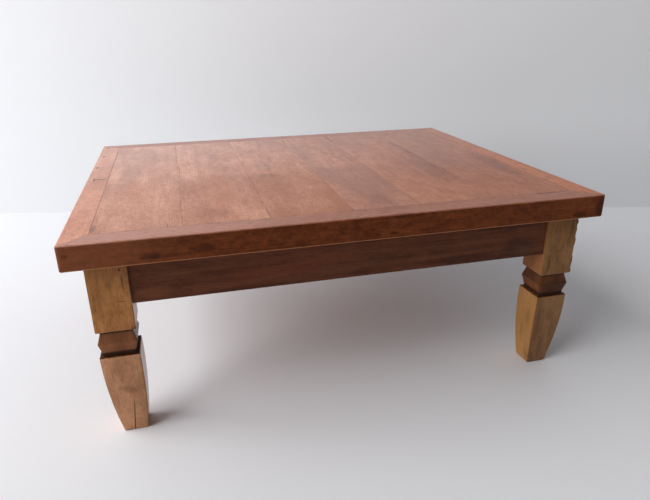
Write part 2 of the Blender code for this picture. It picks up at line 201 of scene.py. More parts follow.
def slice_along(piece, axis, spacing):
    """In edit mode, parts all faces of a piece at even steps, but not close to an edge that it has."""
    stations = sorted({round(vertex.co[axis], 5) for vertex in bmesh.from_edit_mesh(piece.data).verts})
    low, high = stations[0], stations[-1]
    count = max(1, round((high - low) / spacing))
    margin = 0.3 * spacing
    across = Vector([float(index == axis) for index in range(3)])
    for number in range(1, count):
        place = low + (high - low) * number / count
        if min(abs(place - station) for station in stations) > margin:
            bpy.ops.mesh.select_all(action="SELECT")
            bpy.ops.mesh.bisect(plane_co=across * place, plane_no=across)


def rub_down(piece, depth, size, contrast, shares, direction):
    """Sinks a piece's surface unevenly, each point by its share, after a cloud that lies where it does."""
    cloud = bpy.data.textures.new(f"{piece.name}_rub", "CLOUDS")
    cloud.noise_scale = size
    cloud.noise_depth = 2
    cloud.contrast = contrast
    group = piece.vertex_groups.new(name="worn")
    for index, share in enumerate(shares):
        if share:
            group.add([index], share, "REPLACE")
    rub = piece.modifiers.new("rub", "DISPLACE")
    rub.texture = cloud
    rub.texture_coords = "LOCAL"
    rub.direction = direction
    rub.mid_level = 0.0
    rub.strength = -depth
    rub.vertex_group = group.name
    apply_modifier(piece, rub)
    piece.vertex_groups.clear()


def ramp(value, start, end):
    """0 at start and 1 at end, in a straight line between, and level beyond them."""
    return min(1.0, max(0.0, (value - start) / (end - start)))


def wear(piece, face_depth, arris_depth, exposed, direction="NORMAL"):
    """Hand-planed faces with shallow hollows, and outer corners rubbed and chipped by use.

    Only what is exposed wears, and less where three corners meet. The corners are marked on the mesh, for
    the finish to show.
    """
    faces = []
    arrises = []
    marks = []
    for vertex in piece.data.vertices:
        least, middle = sorted(abs(part) for part in vertex.normal)[:2]
        face = float(exposed(vertex.co))
        faces.append(face)
        arrises.append(face * ramp(middle, corner_start, corner_full) * ramp(least, corner_meeting, 0.0))
        marks.append(float(face > 0 and middle > corner_start))
    rub_down(piece, face_depth, hollow_size, hollow_contrast, faces, direction)
    rub_down(piece, arris_depth, chip_size, chip_contrast, arrises, direction)
    marked = piece.data.attributes.new("corner", "FLOAT", "POINT")
    marked.data.foreach_set("value", marks)


def set_in_place(piece, node):
    """Smooths a finished piece's easy curves and puts it in the place of its plain solid."""
    bpy.ops.object.select_all(action="DESELECT")
    piece.select_set(True)
    bpy.context.view_layer.objects.active = piece
    bpy.ops.object.shade_smooth_by_angle(angle=sharp_angle)
    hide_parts(node)
    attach(piece, "root")


class Reading:
    """What one socket of a finish gives at each point. Sums written on it become Math nodes."""

    def __init__(self, socket):
        self.socket = socket

    def node(self, kind, settings=None, inputs=None, output=0):
        """Adds a node, sets it up, then gives its sockets their values or readings."""
        tree = self.socket.id_data
        made = tree.nodes.new(f"ShaderNode{kind}")
        for name, value in (settings or {}).items():
            setattr(made, name, value)
        for name, value in (inputs or {}).items():
            if isinstance(value, Reading):
                tree.links.new(value.socket, made.inputs[name])
            else:
                made.inputs[name].default_value = value
        return Reading(made.outputs[output])

    def math(self, operation, *values):
        return self.node("Math", {"operation": operation}, dict(enumerate(values)))

    def __add__(self, other):
        return self.math("ADD", self, other)

    def __sub__(self, other):
        return self.math("SUBTRACT", self, other)

    def __rsub__(self, other):
        return self.math("SUBTRACT", other, self)

    def __mul__(self, other):
        return self.math("MULTIPLY", self, other)

    def __truediv__(self, other):
        return self.math("DIVIDE", self, other)

    def __abs__(self):
        return self.math("ABSOLUTE", self)

    __radd__ = __add__
    __rmul__ = __mul__

    def larger(self, other):
        return self.math("MAXIMUM", self, other)

    def vector(self, operation, other, output=0):
        return self.node("VectorMath", {"operation": operation}, {0: self, 1: other}, output)

    def part(self, axis):
        """One of the three numbers of a place."""
        return self.node("SeparateXYZ", {}, {"Vector": self}, axis)

    def rise(self, start, end):
        """0 before start, 1 past end, and an ease between; falls where end is less than start."""
        settings = {"interpolation_type": "SMOOTHSTEP"}
        return self.node("MapRange", settings, {"Value": self, "From Min": start, "From Max": end})

    def cloud(self, stretch, detail, roughness=0.5):
        """Soft noise about 0.5, with as many lumps to the metre along each axis as stretch says."""
        spread = self.vector("MULTIPLY", stretch)
        inputs = {"Vector": spread, "Scale": 1.0, "Detail": detail, "Roughness": roughness}
        return self.node("TexNoise", {}, inputs)

    def mix(self, first, second):
        """The first colour where the reading is 0 and the second where it is 1."""
        # Mix has sockets of one name for each kind of value, so those for colours go by number.
        colours = {0: self, 6: first, 7: second}
        return self.node("Mix", {"data_type": "RGBA"}, colours, 2)


def colour(red, green, blue):
    """A linear colour from the 0 to 255 values of a colour picker."""
    return (*[(value / 255) ** 2.2 for value in (red, green, blue)], 1.0)


def new_finish(name):
    """An empty material, and the reading of where each point of its piece lies, in metres."""
    material = bpy.data.materials.new(name)
    material.use_nodes = True
    place = material.node_tree.nodes.new("ShaderNodeTexCoord")
    return material, Reading(place.outputs["Object"])


along_x = (0.0, 0.0, 0.0)
along_y = (0.0, 0.0, -math.pi / 2)
along_z = (0.0, math.pi / 2, 0.0)


class Wood:
    """Readings of solid wood at each point of a piece, from 0 to 1, before any colour is given to them."""

    def __init__(self, spot, turn, shift, heart, year, sway=2.2):
        """The grain is turned from X and slid along by shift. Heart is where the tree's middle ran, in the
        two turned axes across the grain, year is how far the trunk grew in one, and sway is how many times
        the grain wanders in a metre."""
        location = (shift, -heart[0], -heart[1])
        run = spot.node("Mapping", {}, {"Vector": spot, "Rotation": turn, "Location": location})
        wander = run.cloud((sway, 9, 9), 2) - 0.5
        ripple = run.cloud((14, 60, 60), 2) - 0.5
        radius = run.vector("MULTIPLY", (0, 1, 1)).vector("LENGTH", (0, 0, 0), "Value")
        years = (radius + wander * 0.05 + ripple * 0.006) / year
        season = years.math("FRACT", years)
        self.spot = spot
        self.growth = season * season.rise(1.0, 0.75)
        self.streak = run.cloud((2.4, 75, 75), 3).rise(0.3, 0.7)
        self.fibre = run.cloud((14, 420, 420), 3, 0.6).rise(0.3, 0.7)
        self.pores = run.cloud((90, 1300, 1300), 1).rise(0.58, 0.70)
        self.mottle = run.cloud((13, 27, 27), 6, 0.7).rise(0.3, 0.7)
        self.grit = run.cloud((60, 95, 95), 4, 0.75).rise(0.3, 0.7)
        self.blotch = run.cloud((4.5, 10, 10), 3).rise(0.32, 0.68)
        self.speck = run.cloud((95, 400, 400), 2).rise(0.58, 0.68)
        self.ragged = run.cloud((60, 140, 140), 3, 0.6) - 0.5
        self.corner = spot.node("Attribute", {"attribute_name": "corner"}, {}, "Fac")

    def blot(self, centre, half_size):
        """1 inside an oval with that middle and half size, fading to 0 round a ragged rim."""
        offset = self.spot.vector("SUBTRACT", centre).vector("DIVIDE", half_size)
        distance = offset.vector("LENGTH", (0, 0, 0), "Value")
        return (distance + self.ragged * 1.2).rise(1.15, 0.4)


def seal(pieces, material, base, roughness, grain, depth, gloss, wax=None):
    """Joins a finish's readings to its shader and gives it to pieces, under wax where it has any."""
    tree = material.node_tree
    shader = tree.nodes["Principled BSDF"]
    if wax is not None:
        tree.links.new(wax.socket, shader.inputs["Coat Weight"])
        shader.inputs["Coat Roughness"].default_value = wax_roughness
    shader.inputs["Specular IOR Level"].default_value = gloss
    bumped = grain.node("Bump", {}, {"Strength": 1.0, "Distance": depth, "Height": grain})
    tree.links.new(base.socket, shader.inputs["Base Color"])
    tree.links.new(roughness.socket, shader.inputs["Roughness"])
    tree.links.new(bumped.socket, shader.inputs["Normal"])
    for piece in pieces:
        piece.data.materials.clear()
        piece.data.materials.append(material)


def foot_section(t):
    """Height, half width and lean of the foot's section at t, from 0 at its top to 1 at the floor."""
    drop = 2 * t * (1 - t) * foot_belly_drop + t * t
    belly = leg_half_width + foot_belly
    half = (1 - t) ** 2 * leg_half_width + 2 * t * (1 - t) * belly + t * t * foot_bottom_half_width
    return foot_top * (1 - drop), half, foot_lean * drop


def add_leg():
    """The front left leg: a short block run on downwards, drawn in or out at each section."""
    axis = Vector((table_low.x + leg_inset, table_low.y + leg_inset, leg_top))
    half = Vector((leg_half_width, leg_half_width, 0))
    step = post_height / post_steps
    leg = add_block("leg", axis - half - Vector((0, 0, step)), axis + half)
    sections = [(leg_top - step * count, leg_half_width, 0.0) for count in range(1, post_steps + 1)]
    sections += [
        (post_bottom, neck_half_width, 0.0),
        (bead_top, neck_half_width, 0.0),
        (bead_ridge, bead_half_width, 0.0),
        (bead_bottom, neck_half_width, 0.0),
        (foot_top, neck_half_width, 0.0),
    ]
    sections += [foot_section(count / foot_steps) for count in range(foot_steps + 1)]
    bpy.ops.object.mode_set(mode="EDIT")
    pick_faces(leg, lambda middle, normal: normal.z < -square_on)
    for (height, width, lean), (next_height, next_width, next_lean) in zip(sections, sections[1:]):
        move = (next_lean - lean, 0, next_height - height)
        bpy.ops.mesh.extrude_region_move(TRANSFORM_OT_translate={"value": move})
        draw = next_width / width
        middle = (axis.x + next_lean, axis.y, next_height)
        bpy.ops.transform.resize(value=(draw, draw, 1), center_override=middle)
    pick_edges(leg, lambda edge: climb(edge) < tiny and abs(edge.verts[0].co.z - bead_ridge) < tiny)
    bpy.ops.mesh.mark_sharp()
    pick_edges(leg, is_arris)
    bpy.ops.mesh.bevel(offset=leg_arris, segments=3, affect="EDGES")
    pick_edges(leg, lambda edge: climb(edge) < tiny and edge.calc_length() > leg_half_width / 2)
    bpy.ops.mesh.subdivide(number_cuts=3)
    bpy.ops.object.mode_set(mode="OBJECT")
    split_faces(leg, 2)
    return leg


def cut_sockets(leg, end, side):
    """Two blind sockets in a post, one for the tenon of each apron that meets it."""
    for node, axis in ((f"apron_{end}", 0), (f"apron_{side}", 1)):
        low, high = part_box(node)
        way = ways[(side, end)[axis]]
        tip = high[axis] if way > 0 else low[axis]
        half = Vector((tenon_thickness / 2, tenon_thickness / 2, (high.z - low.z) / 2 - tenon_shoulder))
        half += Vector((fit_ease, fit_ease, fit_ease))
        half[axis] = tenon_length
        middle = (low + high) / 2
        middle[axis] = tip - way * (tenon_length - fit_ease)
        shape_with(leg, add_block("socket", middle - half, middle + half))


crack_foot = Vector((-0.4314, -0.360, 0.0))
crack_height = 0.056
crack_lean = 0.0058
crack_half_width = 0.0006
crack_depth = 0.004
crack_stand_out = 0.02
crack_run_under = 0.002
crack_narrowing = 0.3
crack_step = 0.007
crack_jitter = 0.0001


def open_crack(leg):
    """A drying crack up the front of the left foot, widest at the floor."""
    low = crack_foot - Vector((crack_half_width, crack_stand_out, crack_run_under))
    high = crack_foot + Vector((crack_half_width, crack_depth, crack_height))
    wedge = add_block("wedge", low, high)
    bpy.ops.object.mode_set(mode="EDIT")
    pick_faces(wedge, lambda middle, normal: normal.z > square_on)
    bpy.ops.transform.resize(value=(crack_narrowing, 1, 1), center_override=crack_foot)
    bpy.ops.transform.translate(value=(crack_lean, 0, 0))
    slice_along(wedge, 2, crack_step)
    bpy.ops.mesh.select_all(action="SELECT")
    bpy.ops.transform.vertex_random(offset=crack_jitter, seed=4)
    bpy.ops.object.mode_set(mode="OBJECT")
    shape_with(leg, wedge)


post_nail = Vector((-0.4145, -0.370, 0.3333))
foot_nail = Vector((0.423, -0.3645, 0.0688))
facing_front = (math.pi / 2, 0.0, 0.0)
leg_nail_radius = 0.0011
post_nail_depth = 0.004
foot_nail_depth = 0.003
grime = (46, 28, 18)
smudge = (112, 66, 40)
foot_streak = (74, 50, 32)
leg_stains = {
    ("front", "left"): [
        (post_nail, (0.0022, 0.01, 0.003), 0.9, grime),
        ((-0.4193, -0.370, 0.2750), (0.008, 0.01, 0.0013), 0.6, grime),
        ((-0.4035, -0.370, 0.2216), (0.010, 0.02, 0.005), 0.5, grime),
        ((-0.4265, -0.368, 0.0970), (0.018, 0.02, 0.009), 0.28, smudge),
        ((-0.4380, -0.366, 0.1020), (0.010, 0.02, 0.007), 0.3, smudge),
        ((-0.4240, -0.366, 0.0930), (0.009, 0.02, 0.008), 0.22, smudge),
        ((-0.4440, -0.368, 0.1450), (0.012, 0.02, 0.018), 0.15, smudge),
        ((-0.4131, -0.370, 0.3100), (0.0025, 0.01, 0.018), 0.5, grime),
    ],
    ("front", "right"): [
        ((0.4600, -0.370, 0.3200), (0.0035, 0.01, 0.026), 0.45, grime),
        ((0.4720, -0.370, 0.3380), (0.006, 0.02, 0.016), 0.75, grime),
        ((0.4165, -0.370, 0.2420), (0.0035, 0.01, 0.020), 0.45, grime),
        ((0.4360, -0.369, 0.1880), (0.045, 0.012, 0.022), 0.75, (50, 25, 0)),
        (foot_nail, (0.0025, 0.01, 0.003), 0.8, grime),
        ((0.4120, -0.368, 0.1050), (0.005, 0.02, 0.055), 0.35, foot_streak),
        ((0.4380, -0.366, 0.1250), (0.010, 0.02, 0.026), 0.3, foot_streak),
        ((0.4290, -0.366, 0.0450), (0.007, 0.02, 0.034), 0.35, foot_streak),
        ((0.4470, -0.366, 0.0900), (0.005, 0.02, 0.040), 0.25, foot_streak),
        ((0.3990, -0.348, 0.1150), (0.02, 0.008, 0.026), 0.3, foot_streak),
        ((0.4040, -0.330, 0.0700), (0.02, 0.007, 0.030), 0.25, foot_streak),
        ((0.4060, -0.352, 0.0180), (0.02, 0.012, 0.014), 0.35, foot_streak),
    ],
}
# Post, foot and bead tones for each leg. The front left leg's are paler and the front right's darker:
# partly the wood's own difference, partly painted light falling off from the lamp on the left.
leg_tones = {
    ("front", "left"): ((193, 132, 78), (116, 75, 43), (227, 170, 137), (110, 67, 47)),
    ("front", "right"): ((160, 115, 72), (88, 61, 39), (162, 120, 82), (82, 40, 8)),
    ("back", "left"): ((162, 112, 67), (98, 65, 38), (164, 116, 78), (100, 56, 30)),
    ("back", "right"): ((156, 108, 65), (94, 62, 37), (156, 110, 70), (96, 52, 26)),
}
wide_post_extra = 0.0035
uneven_depth = 0.0027
uneven_size = 0.010
uneven_contrast = 2.4
unrubbed_wax = 0.75

leg = add_leg()
for number, (end, side) in enumerate(corners):
    node = f"leg_{end}_{side}"
    front_left = (end, side) == ("front", "left")
    front_right = (end, side) == ("front", "right")
    piece = leg.copy()
    piece.data = leg.data.copy()
    piece.name = f"carved_{node}"
    piece.data.name = piece.name
    bpy.context.collection.objects.link(piece)
    piece.scale = (-ways[side], -ways[end], 1)
    bpy.ops.object.select_all(action="DESELECT")
    piece.select_set(True)
    bpy.context.view_layer.objects.active = piece
    bpy.ops.object.transform_apply(location=False, rotation=False, scale=True)
    bpy.ops.object.mode_set(mode="EDIT")
    bpy.ops.mesh.select_all(action="SELECT")
    bpy.ops.mesh.normals_make_consistent(inside=False)
    bpy.ops.object.mode_set(mode="OBJECT")
    axis = Vector((ways[side] * (table_high.x - leg_inset), ways[end] * (table_high.y - leg_inset), 0))
    if front_right:
        outer = axis.x + leg_half_width
        bpy.ops.object.mode_set(mode="EDIT")
        pick_faces(piece, lambda middle, normal: middle.x > outer - leg_arris and middle.z > post_bottom)
        bpy.ops.transform.translate(value=(wide_post_extra, 0, 0))
        bpy.ops.object.mode_set(mode="OBJECT")
        uneven = [float(vertex.co.x > outer) for vertex in piece.data.vertices]
        rub_down(piece, uneven_depth, uneven_size, uneven_contrast, uneven, "X")
    wear(piece, leg_face_wear, leg_corner_wear, lambda place: place.z < leg_top - joint_margin)
    cut_sockets(piece, end, side)
    if front_left:
        open_crack(piece)
        bore(piece, post_nail, facing_front, leg_nail_radius, post_nail_depth)
    if front_right:
        bore(piece, foot_nail, facing_front, leg_nail_radius, foot_nail_depth)

    post_pale, post_deep, foot_tint, bead_tint = [colour(*tint) for tint in leg_tones[end, side]]
    material, spot = new_finish(piece.name)
    heart = (axis.y - 0.10, -axis.x - 0.06 * ways[side])
    wood = Wood(spot, along_z, shift=0.7 * number, heart=heart, year=0.011)
    tone = wood.growth * 0.08 + wood.streak * 0.08 + wood.fibre * 0.16
    tone = tone + wood.mottle * 0.36 + wood.grit * 0.32
    base = tone.mix(post_pale, post_deep)
    # Painted shade: the posts are made darker towards their tops, where the table top shades them.
    base = (spot.part(2).rise(0.27, 0.36) * 0.5).mix(base, colour(104, 68, 38))
    height = spot.part(2) + wood.ragged * 0.003
    foot = height.rise(foot_top + 0.002, foot_top - 0.002)
    base = (foot * 0.48).mix(base, foot_tint)
    base = (foot * (wood.mottle * 0.35 + wood.blotch * 0.2)).mix(base, post_deep)
    carved = height.rise(foot_top - 0.0016, foot_top - 0.0002)
    carved = carved * height.rise(post_bottom + 0.0005, post_bottom - 0.0015)
    base = (carved * 0.8).mix(base, bead_tint)
    # Painted light: the bead's lower facet, which faces the pale floor, is made paler.
    bead_underside_highlight = carved * height.rise(bead_ridge + 0.001, bead_ridge - 0.001)
    paler = 0.55 if front_left else 0.4
    base = (bead_underside_highlight * paler).mix(base, colour(154, 94, 62))
    base = (carved * wood.mottle * 0.45).mix(base, colour(54, 30, 15))
    # The cut-in necks above and below the bead go near black: painted shade, with some dirt in the cuts.
    neck_dirt_and_shade = height.rise(bead_bottom + 0.005, bead_bottom + 0.0005)
    neck_dirt_and_shade = neck_dirt_and_shade.larger(height.rise(bead_top - 0.0008, bead_top + 0.0015))
    base = (carved * neck_dirt_and_shade * 0.9).mix(base, colour(26, 15, 10))
    base = (wood.speck * 0.25).mix(base, colour(88, 56, 34))
    base = (wood.pores * 0.3).mix(base, colour(84, 54, 32))
    base = (wood.corner * (0.15 + foot * 0.2 + wood.grit * 0.45)).mix(base, colour(78, 48, 28))
    if front_left:
        off_crack = spot.part(0) - crack_foot.x - spot.part(2) * (crack_lean / crack_height)
        split = abs(off_crack + wood.ragged * 0.0012).rise(0.0014, 0.0003) * spot.part(2).rise(0.09, 0.05)
        base = (split * spot.part(1).rise(-0.350, -0.356) * 0.8).mix(base, colour(40, 24, 16))
    drop = (1 - spot.part(2) / foot_top).larger(0.0)
    inwards = (axis.x - spot.part(0)) * ways[side] - drop * foot_lean
    outwards = (spot.part(1) - axis.y) * ways[end]
    inner_face = (inwards - outwards).rise(-0.0008, 0.0008)
    # On the front right leg the foot's and post's faces towards the lamp on the left are made paler and
    # warmer: partly the wood's own warmer tone, partly painted light.
    if front_right:
        base = (inner_face * foot * 0.22).mix(base, colour(226, 164, 88))
        post = height.rise(post_bottom - 0.001, post_bottom + 0.001)
        base = (inner_face * post * 0.35).mix(base, colour(150, 82, 44))
    for centre, half_size, share, tint in leg_stains.get((end, side), []):
        base = (wood.blot(centre, half_size) * share).mix(base, colour(*tint))
    roughness = 0.42 + tone * 0.16
    grain = wood.fibre * 0.4 - wood.pores * 0.6 + wood.growth * 0.3
    wax = inner_face * unrubbed_wax if front_left else None
    seal([piece], material, base, roughness, grain, leg_grain_depth, leg_gloss, wax)
    set_in_place(piece, node)
bpy.data.objects.remove(leg)


# Aprons: four boards of dark chocolate-brown hardwood, planed and oiled, that tie the posts together.
# Each is stepped down at both ends to a tenon, which is glued into the post's socket. The side ones also
# have a mortise inside for the rail.

apron_arris = 0.0015
apron_face_wear = 0.0004
apron_corner_wear = 0.0006
apron_grain_depth = 0.0003
apron_gloss = 0.12
apron_mark_depth = 0.02
apron_steps = {"along": 0.012, "through": 0.008, "up": 0.010}
rail_tenon_shoulder = 0.006
apron_dark = (42, 26, 20)
apron_rust = (130, 66, 42)
front_apron_marks = [
    (-0.365, 0.284, 0.036, 0.014, 0.15, (150, 98, 62)),
    (-0.345, 0.313, 0.050, 0.020, 0.15, (128, 86, 58)),
    (-0.155, 0.297, 0.080, 0.012, 0.25, apron_rust),
    (-0.055, 0.310, 0.075, 0.012, 0.25, apron_rust),
    (-0.200, 0.271, 0.120, 0.005, 0.4, apron_dark),
    (-0.190, 0.346, 0.075, 0.005, 0.35, apron_dark),
    (0.085, 0.296, 0.050, 0.004, 0.4, apron_dark),
    (0.225, 0.277, 0.080, 0.010, 0.35, apron_dark),
    (0.320, 0.334, 0.090, 0.006, 0.35, apron_dark),
    (0.345, 0.288, 0.048, 0.024, 0.45, apron_dark),
    (0.352, 0.281, 0.028, 0.012, 0.3, (104, 70, 54)),
]


def add_apron(side):
    """A board between two posts, with a tenon drawn out of each end."""
    axis = runs[side]
    low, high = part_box(f"apron_{side}")
    low[axis] += tenon_length
    high[axis] -= tenon_length
    apron = add_block(f"apron_board_{side}", low, high)
    size = high - low
    shrink = Vector((tenon_thickness / size.x, tenon_thickness / size.y, 1 - 2 * tenon_shoulder / size.z))
    shrink[axis] = 1.0
    bpy.ops.object.mode_set(mode="EDIT")
    pick_edges(apron, lambda edge: abs((edge.verts[0].co - edge.verts[1].co)[axis]) > tenon_length)
    bpy.ops.mesh.bevel(offset=apron_arris, segments=3, affect="EDGES")
    for way in (-1, 1):
        pick_faces(apron, lambda middle, normal: normal[axis] * way > square_on)
        middle = (low + high) / 2
        middle[axis] = high[axis] if way > 0 else low[axis]
        bpy.ops.mesh.extrude_region_move(TRANSFORM_OT_translate={"value": (0, 0, 0)})
        bpy.ops.transform.resize(value=shrink, center_override=middle)
        reach = Vector([way * tenon_length * (index == axis) for index in range(3)])
        bpy.ops.mesh.extrude_region_move(TRANSFORM_OT_translate={"value": reach})
    slice_along(apron, axis, apron_steps["along"])
    slice_along(apron, 1 - axis, apron_steps["through"])
    slice_along(apron, 2, apron_steps["up"])
    bpy.ops.object.mode_set(mode="OBJECT")
    split_faces(apron, 1)
    wear(
        apron,
        apron_face_wear,
        apron_corner_wear,
        lambda place: low[axis] + joint_margin < place[axis] < high[axis] - joint_margin,
    )
    return apron


for number, side in enumerate(runs):
    axis = runs[side]
    node = f"apron_{side}"
    piece = add_apron(side)
    if axis == 1:
        rail_low, rail_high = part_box("centre_rail")
        shoulder = Vector((0, rail_tenon_shoulder, rail_tenon_shoulder))
        shape_with(piece, add_block("mortise", rail_low + shoulder, rail_high - shoulder))
    low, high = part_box(node)
    middle = (low + high) / 2
    material, spot = new_finish(piece.name)
    heart = ((middle.y, -middle.x)[axis] + 0.02, middle.z - 0.16)
    wood = Wood(spot, (along_x, along_y)[axis], shift=1.7 * number, heart=heart, year=0.016, sway=4)
    tone = wood.growth * 0.15 + wood.streak * 0.3 + wood.fibre * 0.15
    tone = tone + wood.mottle * 0.25 + wood.grit * 0.15
    base = tone.mix(colour(118, 72, 51), colour(47, 27, 20))
    base = (wood.blotch * 0.4).mix(base, colour(90, 46, 30))
    base = (wood.pores * 0.4).mix(base, colour(40, 24, 18))
    base = (wood.corner * 0.25).mix(base, colour(122, 78, 56))
    if side == "front":
        for x, z, half_x, half_z, share, tint in front_apron_marks:
            mark = wood.blot((x, low.y, z), (half_x, apron_mark_depth, half_z))
            base = (mark * share).mix(base, colour(*tint))
    roughness = 0.45 + tone * 0.15
    grain = wood.fibre * 0.4 - wood.pores * 0.6 + wood.growth * 0.3
    seal([piece], material, base, roughness, grain, apron_grain_depth, apron_gloss)
    set_in_place(piece, node)


# Rail, braces and splines: bare sawn softwood that is never seen from above, kept as the plain solids.
# The rail is tenoned into the side aprons. It and the braces behind the legs carry the steel screws that
# hold the top down, and the splines are glued into slots across the mitres.

sawn_kinds = ("centre_rail", "corner_brace", "mitre_spline")
saw_mark_depth = 0.0003
sawn_gloss = 0.3
screw_mark_depth = 0.0001
screw_gloss = 0.5

material, spot = new_finish("sawn_wood")
wood = Wood(spot, along_x, shift=0.4, heart=(0.05, 0.20), year=0.006)
kerf = spot.cloud((900, 12, 12), 2).rise(0.35, 0.65)
tone = wood.growth * 0.35 + wood.streak * 0.25 + wood.fibre * 0.25 + wood.mottle * 0.15
base = tone.mix(colour(186, 146, 104), colour(150, 108, 70))
base = (wood.blotch * 0.3).mix(base, colour(140, 104, 76))
base = (wood.pores * 0.3).mix(base, colour(104, 72, 46))
roughness = 0.7 + tone * 0.15
saw_marks = kerf * 0.5 + wood.fibre * 0.5
sawn = [solid for name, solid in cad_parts.items() if name.startswith(sawn_kinds)]
seal(sawn, material, base, roughness, saw_marks, saw_mark_depth, sawn_gloss)

material, spot = new_finish("screw_steel")
stain = spot.cloud((300, 300, 300), 4, 0.6).rise(0.35, 0.65)
turned = spot.cloud((1600, 1600, 250), 2).rise(0.3, 0.7)
base = stain.mix(colour(168, 166, 160), colour(128, 124, 116))
material.node_tree.nodes["Principled BSDF"].inputs["Metallic"].default_value = 1.0
roughness = 0.32 + stain * 0.2
screws = [solid for name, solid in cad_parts.items() if "screw" in name]
seal(screws, material, base, roughness, turned, screw_mark_depth, screw_gloss)


# Planks: six boards of reddish-brown hardwood from an old floor, of uneven widths, with oil and wax on top.
# A tongue runs round the outside of the field into the border, and each plank's right tongue enters the
# next one's groove.

tongue_length = 0.0117
tongue_thickness = 0.009
plank_arris = 0.0003
plank_face_wear = 0.0003
plank_corner_wear = 0.00005
plank_worn_rim = 0.002
plank_grain_depth = 0.0001
plank_gloss = 0.1
plank_steps = {"across": 0.010, "along": 0.012}
plank_joint_half_width = 0.0012
plank_end_joint_half_width = 0.0018
plank_count = 6
seam_closing = 0.0001
plank_top = table_high.z


def add_plank(number):
    """A board with tongues drawn out of its ends and right edge, and a groove in its left edge."""
    low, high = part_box(f"top_plank_{number}")
    first = number == 1
    low += Vector((tongue_length if first else 0, tongue_length, 0))
    high -= Vector((tongue_length, tongue_length, 0))
    low.x -= 0 if first else seam_closing
    high.x += 0 if number == plank_count else seam_closing
    plank = add_block(f"plank_{number}", low, high)
    middle = (low.z + high.z) / 2
    near_enough = 10 * tiny
    bpy.ops.object.mode_set(mode="EDIT")
    pick_edges(plank, lambda edge: edge.verts[0].co.z + edge.verts[1].co.z > 2 * high.z - near_enough)
    bpy.ops.mesh.bevel(offset=plank_arris, segments=1, affect="EDGES")
    for level in (middle - tongue_thickness / 2, middle + tongue_thickness / 2):
        bpy.ops.mesh.select_all(action="SELECT")
        bpy.ops.mesh.bisect(plane_co=(0, 0, level), plane_no=(0, 0, 1))
    pick_faces(
        plank,
        lambda place, normal: abs(place.z - middle) < near_enough and (first or normal.x > -square_on),
    )
    bpy.ops.mesh.extrude_region_shrink_fatten(
        TRANSFORM_OT_shrink_fatten={"value": tongue_length, "use_even_offset": True}
    )
    slice_along(plank, 0, plank_steps["across"])
    slice_along(plank, 1, plank_steps["along"])
    bpy.ops.object.mode_set(mode="OBJECT")
    split_faces(plank, 1)
    wear(plank, plank_face_wear, plank_corner_wear, lambda place: place.z > high.z - plank_worn_rim, "Z")
    if not first:
        slot = tongue_thickness / 2 + fit_ease
        mouth = Vector((low.x - tongue_length, low.y - 2 * tongue_length, middle - slot))
        bottom = Vector((low.x + tongue_length + fit_ease, high.y + 2 * tongue_length, middle + slot))
        shape_with(plank, add_block("groove", mouth, bottom))
    return plank


left_tones = ((246, 182, 153), (170, 107, 80))
right_tones = ((197, 124, 84), (123, 55, 18))
rusty_shares = {1: 0.3, 2: 0.42, 3: 0.8, 4: 0.3, 5: 0.4, 6: 0.4}
dusky_plank = 4
seam_dirt = [(0.3, 0.2), (0.35, 0.75), (0.7, 0.15), (0.45, 0.2), (0.25, 0.35), (0.45, 0.45), (0.45, 0.3)]
dark_marks = [
    (0.130, 0.307, 0.0035, 0.055, 0.75),
    (-0.004, 0.310, 0.003, 0.030, 0.7),
    (-0.3015, 0.025, 0.0008, 0.105, 0.7),
    (0.012, 0.060, 0.014, 0.200, 0.12),
    (0.068, -0.297, 0.030, 0.040, 0.2),
    (-0.185, 0.117, 0.014, 0.020, 0.2),
    (-0.450, -0.330, 0.005, 0.025, 0.5),
    (-0.330, -0.345, 0.0012, 0.012, 0.7),
]
brown_marks = [
    (0.284, 0.140, 0.012, 0.110, 0.3),
    (0.282, 0.020, 0.016, 0.140, 0.35),
    (0.264, -0.110, 0.030, 0.130, 0.45),
    (0.281, -0.150, 0.014, 0.110, 0.3),
    (0.428, -0.100, 0.024, 0.170, 0.5),
    (0.375, 0.000, 0.090, 0.450, 0.12),
    (-0.114, -0.060, 0.030, 0.020, 0.25),
    (-0.124, 0.204, 0.030, 0.030, 0.2),
    (-0.216, 0.160, 0.016, 0.060, 0.2),
    (-0.250, -0.300, 0.040, 0.030, 0.2),
]
rusty_marks = [
    (-0.225, -0.170, 0.040, 0.180, 0.3),
    (-0.390, -0.120, 0.030, 0.120, 0.3),
    (0.082, 0.303, 0.030, 0.060, 0.45),
    (0.226, 0.117, 0.030, 0.100, 0.45),
]
dusky_marks = [
    (0.022, 0.000, 0.034, 0.280, 0.2),
    (0.068, -0.200, 0.050, 0.100, 0.3),
    (-0.410, 0.030, 0.030, 0.120, 0.3),
    (-0.110, 0.030, 0.030, 0.060, 0.3),
    (0.340, 0.000, 0.060, 0.150, 0.2),
]
top_mark_depth = 0.03
front_wax = 0.38
spared_wax = 0.42


def mark_top(base, wood, marks, tint, low, high):
    """Lays on a base colour those marks, seen from above, that reach into a piece's box."""
    for x, y, half_x, half_y, share in marks:
        if low.x < x + half_x and x - half_x < high.x and low.y < y + half_y and y - half_y < high.y:
            base = (wood.blot((x, y, plank_top), (half_x, half_y, top_mark_depth)) * share).mix(base, tint)
    return base


def rubbed_wax(spot):
    """How much wax is left on the top: less towards the front, where hands and sleeves have rubbed it."""
    return front_wax + spot.part(1).rise(-0.36, 0.36) * spared_wax


def dirty_joint(wood, gap, half_width):
    """1 along a joint that dirt has settled in, given how far off each point is, with breaks along it."""
    breaks = wood.spot.cloud((45, 45, 45), 3).rise(0.42, 0.6)
    return (gap + wood.ragged * 0.0012).rise(half_width, half_width * 0.25) * breaks


